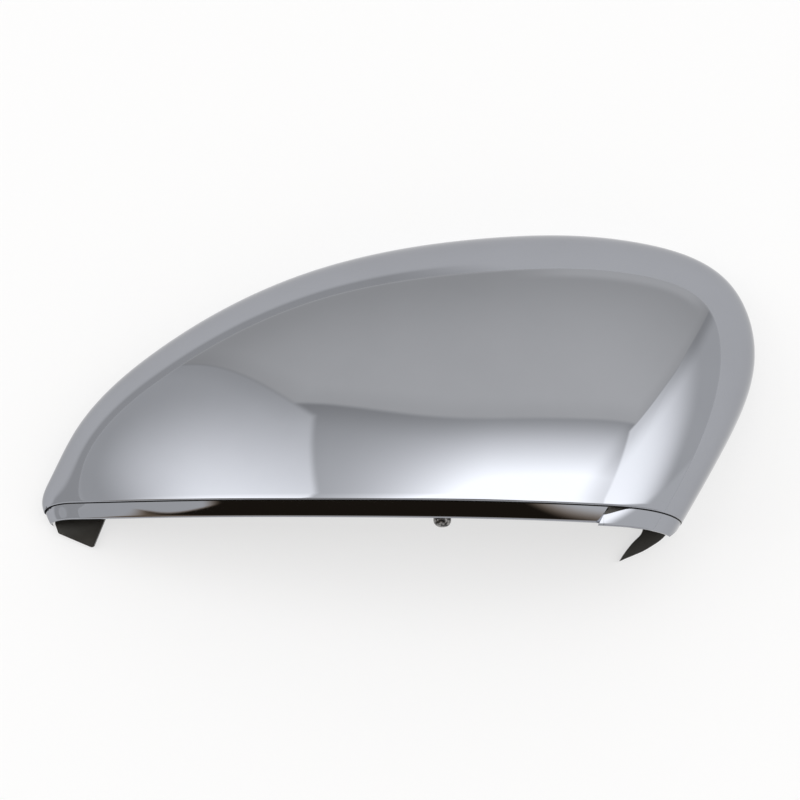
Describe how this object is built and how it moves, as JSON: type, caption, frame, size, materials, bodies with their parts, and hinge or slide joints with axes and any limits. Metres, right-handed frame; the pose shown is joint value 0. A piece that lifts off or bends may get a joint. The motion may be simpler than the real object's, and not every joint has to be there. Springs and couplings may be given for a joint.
{
  "type": "wing mirror cover",
  "caption": "Chrome-plated cover for a car's wing mirror: a domed teardrop shell with a stepped lip, a locating peg, a turned-in rear flange and snap hooks inside.",
  "frame": {"origin": "middle of the cover's box at its rear rim, the plane it lies on", "axes": "+X to the inboard end by the car door, +Y up on the car, away from the lip, +Z forward out of the domed front"},
  "size_m": [0.2244, 0.1028, 0.0656],
  "materials": {
    "chrome_plating": "bright chrome plating on moulded plastic"
  },
  "bodies": {
    "root": {"mirror_cover": "chrome_plating"}
  },
  "joints": []
}
